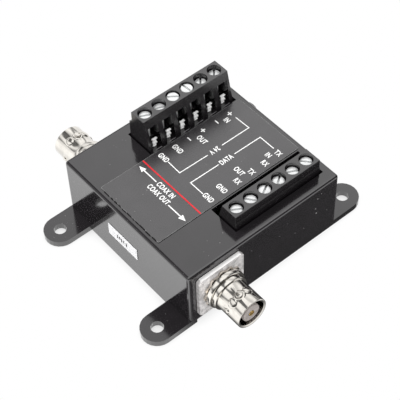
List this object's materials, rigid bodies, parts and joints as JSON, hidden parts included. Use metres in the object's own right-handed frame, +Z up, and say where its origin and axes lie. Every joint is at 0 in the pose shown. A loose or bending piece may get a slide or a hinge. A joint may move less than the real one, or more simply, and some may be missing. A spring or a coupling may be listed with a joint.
{
  "type": "coaxial surge protector",
  "caption": "Black metal box with mounting tabs, a bayonet coaxial jack at either end and rows of screw terminals set in its lid.",
  "frame": {"origin": "centre of the footprint on the mounting plane, which is the underside of the tabs", "axes": "+Z up out of the lid, +X along the terminal rows, -Y out of the front coaxial jack"},
  "size_m": [0.0782, 0.0808, 0.0319],
  "materials": {
    "black_paint": "glossy black paint",
    "terminal_moulding": "satin moulded",
    "nickel_plate": "nickel plated",
    "dark_steel": "dull plated",
    "zinc_plate": "bright zinc plated",
    "dielectric": "machined",
    "gold_plate": "gold plated",
    "board_laminate": "solder masked",
    "label_film": "matt printed",
    "sticker_paper": "matt",
    "arrester_ceramic": "smooth",
    "varistor_coating": "dipped",
    "diode_moulding": "moulded",
    "fuse_coating": "dipped"
  },
  "bodies": {
    "box": {"enclosure": "black_paint", "base_plate": "black_paint", "base_screw_1": "zinc_plate", "base_screw_2": "zinc_plate", "base_screw_3": "zinc_plate", "base_screw_4": "zinc_plate", "circuit_board": "board_laminate", "board_screw_1": "zinc_plate", "board_screw_2": "zinc_plate", "front_flange_plate": "nickel_plate", "front_lock_washer": "dark_steel", "front_ring_nut": "nickel_plate", "front_jack_shell": "nickel_plate", "front_insulator": "dielectric", "front_centre_contact": "gold_plate", "front_inner_nut": "nickel_plate", "rear_flange_plate": "nickel_plate", "rear_lock_washer": "dark_steel", "rear_ring_nut": "nickel_plate", "rear_jack_shell": "nickel_plate", "rear_insulator": "dielectric", "rear_centre_contact": "gold_plate", "rear_inner_nut": "nickel_plate", "rear_terminal_housing": "terminal_moulding", "front_terminal_housing": "terminal_moulding", "lid_label": "label_film", "side_sticker": "sticker_paper", "coax_gas_tube": "arrester_ceramic", "data_gas_tube": "arrester_ceramic", "supply_varistor": "varistor_coating", "data_diode_1": "diode_moulding", "data_diode_2": "diode_moulding", "data_diode_3": "diode_moulding", "data_diode_4": "diode_moulding", "resettable_fuse_1": "fuse_coating", "resettable_fuse_2": "fuse_coating"},
    "rear_plate_1": {"rear_pressure_plate_1": "zinc_plate"},
    "rear_screw_1": {"rear_terminal_screw_1": "zinc_plate"},
    "rear_plate_2": {"rear_pressure_plate_2": "zinc_plate"},
    "rear_screw_2": {"rear_terminal_screw_2": "zinc_plate"},
    "rear_plate_3": {"rear_pressure_plate_3": "zinc_plate"},
    "rear_screw_3": {"rear_terminal_screw_3": "zinc_plate"},
    "rear_plate_4": {"rear_pressure_plate_4": "zinc_plate"},
    "rear_screw_4": {"rear_terminal_screw_4": "zinc_plate"},
    "rear_plate_5": {"rear_pressure_plate_5": "zinc_plate"},
    "rear_screw_5": {"rear_terminal_screw_5": "zinc_plate"},
    "rear_plate_6": {"rear_pressure_plate_6": "zinc_plate"},
    "rear_screw_6": {"rear_terminal_screw_6": "zinc_plate"},
    "front_plate_1": {"front_pressure_plate_1": "zinc_plate"},
    "front_screw_1": {"front_terminal_screw_1": "zinc_plate"},
    "front_plate_2": {"front_pressure_plate_2": "zinc_plate"},
    "front_screw_2": {"front_terminal_screw_2": "zinc_plate"},
    "front_plate_3": {"front_pressure_plate_3": "zinc_plate"},
    "front_screw_3": {"front_terminal_screw_3": "zinc_plate"},
    "front_plate_4": {"front_pressure_plate_4": "zinc_plate"},
    "front_screw_4": {"front_terminal_screw_4": "zinc_plate"},
    "front_plate_5": {"front_pressure_plate_5": "zinc_plate"},
    "front_screw_5": {"front_terminal_screw_5": "zinc_plate"},
    "front_plate_6": {"front_pressure_plate_6": "zinc_plate"},
    "front_screw_6": {"front_terminal_screw_6": "zinc_plate"}
  },
  "joints": [
    {"name": "rear_plate_1_press", "type": "slide", "parent": "box", "child": "rear_plate_1", "axis": [0, 0, -1], "range_m": [-0.0007, 0.0017]},
    {"name": "rear_screw_1_turn", "type": "hinge", "parent": "rear_plate_1", "child": "rear_screw_1", "pos_m": [-0.0043, 0.0184, 0.0309], "axis": [0, 0, -1], "range_deg": [-504, 1224]},
    {"name": "rear_plate_2_press", "type": "slide", "parent": "box", "child": "rear_plate_2", "axis": [0, 0, -1], "range_m": [-0.0011, 0.0013]},
    {"name": "rear_screw_2_turn", "type": "hinge", "parent": "rear_plate_2", "child": "rear_screw_2", "pos_m": [0.0007, 0.0184, 0.0305], "axis": [0, 0, -1], "range_deg": [-792, 936]},
    {"name": "rear_plate_3_press", "type": "slide", "parent": "box", "child": "rear_plate_3", "axis": [0, 0, -1], "range_m": [-0.0001, 0.0023]},
    {"name": "rear_screw_3_turn", "type": "hinge", "parent": "rear_plate_3", "child": "rear_screw_3", "pos_m": [0.0057, 0.0184, 0.0315], "axis": [0, 0, -1], "range_deg": [-72, 1656]},
    {"name": "rear_plate_4_press", "type": "slide", "parent": "box", "child": "rear_plate_4", "axis": [0, 0, -1], "range_m": [-0.0001, 0.0023]},
    {"name": "rear_screw_4_turn", "type": "hinge", "parent": "rear_plate_4", "child": "rear_screw_4", "pos_m": [0.0107, 0.0184, 0.0315], "axis": [0, 0, -1], "range_deg": [-72, 1656]},
    {"name": "rear_plate_5_press", "type": "slide", "parent": "box", "child": "rear_plate_5", "axis": [0, 0, -1], "range_m": [-0.0012, 0.0012]},
    {"name": "rear_screw_5_turn", "type": "hinge", "parent": "rear_plate_5", "child": "rear_screw_5", "pos_m": [0.0157, 0.0184, 0.0304], "axis": [0, 0, -1], "range_deg": [-864, 864]},
    {"name": "rear_plate_6_press", "type": "slide", "parent": "box", "child": "rear_plate_6", "axis": [0, 0, -1], "range_m": [-0.0012, 0.0012]},
    {"name": "rear_screw_6_turn", "type": "hinge", "parent": "rear_plate_6", "child": "rear_screw_6", "pos_m": [0.0207, 0.0184, 0.0304], "axis": [0, 0, -1], "range_deg": [-864, 864]},
    {"name": "front_plate_1_press", "type": "slide", "parent": "box", "child": "front_plate_1", "axis": [0, 0, -1], "range_m": [-0.0007, 0.0017]},
    {"name": "front_screw_1_turn", "type": "hinge", "parent": "front_plate_1", "child": "front_screw_1", "pos_m": [-0.0043, -0.0198, 0.0256], "axis": [0, 0, -1], "range_deg": [-504, 1224]},
    {"name": "front_plate_2_press", "type": "slide", "parent": "box", "child": "front_plate_2", "axis": [0, 0, -1], "range_m": [-0.0007, 0.0017]},
    {"name": "front_screw_2_turn", "type": "hinge", "parent": "front_plate_2", "child": "front_screw_2", "pos_m": [0.0007, -0.0198, 0.0256], "axis": [0, 0, -1], "range_deg": [-504, 1224]},
    {"name": "front_plate_3_press", "type": "slide", "parent": "box", "child": "front_plate_3", "axis": [0, 0, -1], "range_m": [-0.0006, 0.0018]},
    {"name": "front_screw_3_turn", "type": "hinge", "parent": "front_plate_3", "child": "front_screw_3", "pos_m": [0.0057, -0.0198, 0.0257], "axis": [0, 0, -1], "range_deg": [-432, 1296]},
    {"name": "front_plate_4_press", "type": "slide", "parent": "box", "child": "front_plate_4", "axis": [0, 0, -1], "range_m": [-0.0008, 0.0016]},
    {"name": "front_screw_4_turn", "type": "hinge", "parent": "front_plate_4", "child": "front_screw_4", "pos_m": [0.0107, -0.0198, 0.0255], "axis": [0, 0, -1], "range_deg": [-576, 1152]},
    {"name": "front_plate_5_press", "type": "slide", "parent": "box", "child": "front_plate_5", "axis": [0, 0, -1], "range_m": [-0.0008, 0.0016]},
    {"name": "front_screw_5_turn", "type": "hinge", "parent": "front_plate_5", "child": "front_screw_5", "pos_m": [0.0157, -0.0198, 0.0255], "axis": [0, 0, -1], "range_deg": [-576, 1152]},
    {"name": "front_plate_6_press", "type": "slide", "parent": "box", "child": "front_plate_6", "axis": [0, 0, -1], "range_m": [-0.0006, 0.0018]},
    {"name": "front_screw_6_turn", "type": "hinge", "parent": "front_plate_6", "child": "front_screw_6", "pos_m": [0.0207, -0.0198, 0.0257], "axis": [0, 0, -1], "range_deg": [-432, 1296]}
  ],
  "couplings": [
    {"joint": "rear_screw_1_turn", "follows": "rear_plate_1_press", "rad_per_m": 12566},
    {"joint": "rear_screw_2_turn", "follows": "rear_plate_2_press", "rad_per_m": 12566},
    {"joint": "rear_screw_3_turn", "follows": "rear_plate_3_press", "rad_per_m": 12566},
    {"joint": "rear_screw_4_turn", "follows": "rear_plate_4_press", "rad_per_m": 12566},
    {"joint": "rear_screw_5_turn", "follows": "rear_plate_5_press", "rad_per_m": 12566},
    {"joint": "rear_screw_6_turn", "follows": "rear_plate_6_press", "rad_per_m": 12566},
    {"joint": "front_screw_1_turn", "follows": "front_plate_1_press", "rad_per_m": 12566},
    {"joint": "front_screw_2_turn", "follows": "front_plate_2_press", "rad_per_m": 12566},
    {"joint": "front_screw_3_turn", "follows": "front_plate_3_press", "rad_per_m": 12566},
    {"joint": "front_screw_4_turn", "follows": "front_plate_4_press", "rad_per_m": 12566},
    {"joint": "front_screw_5_turn", "follows": "front_plate_5_press", "rad_per_m": 12566},
    {"joint": "front_screw_6_turn", "follows": "front_plate_6_press", "rad_per_m": 12566}
  ]
}
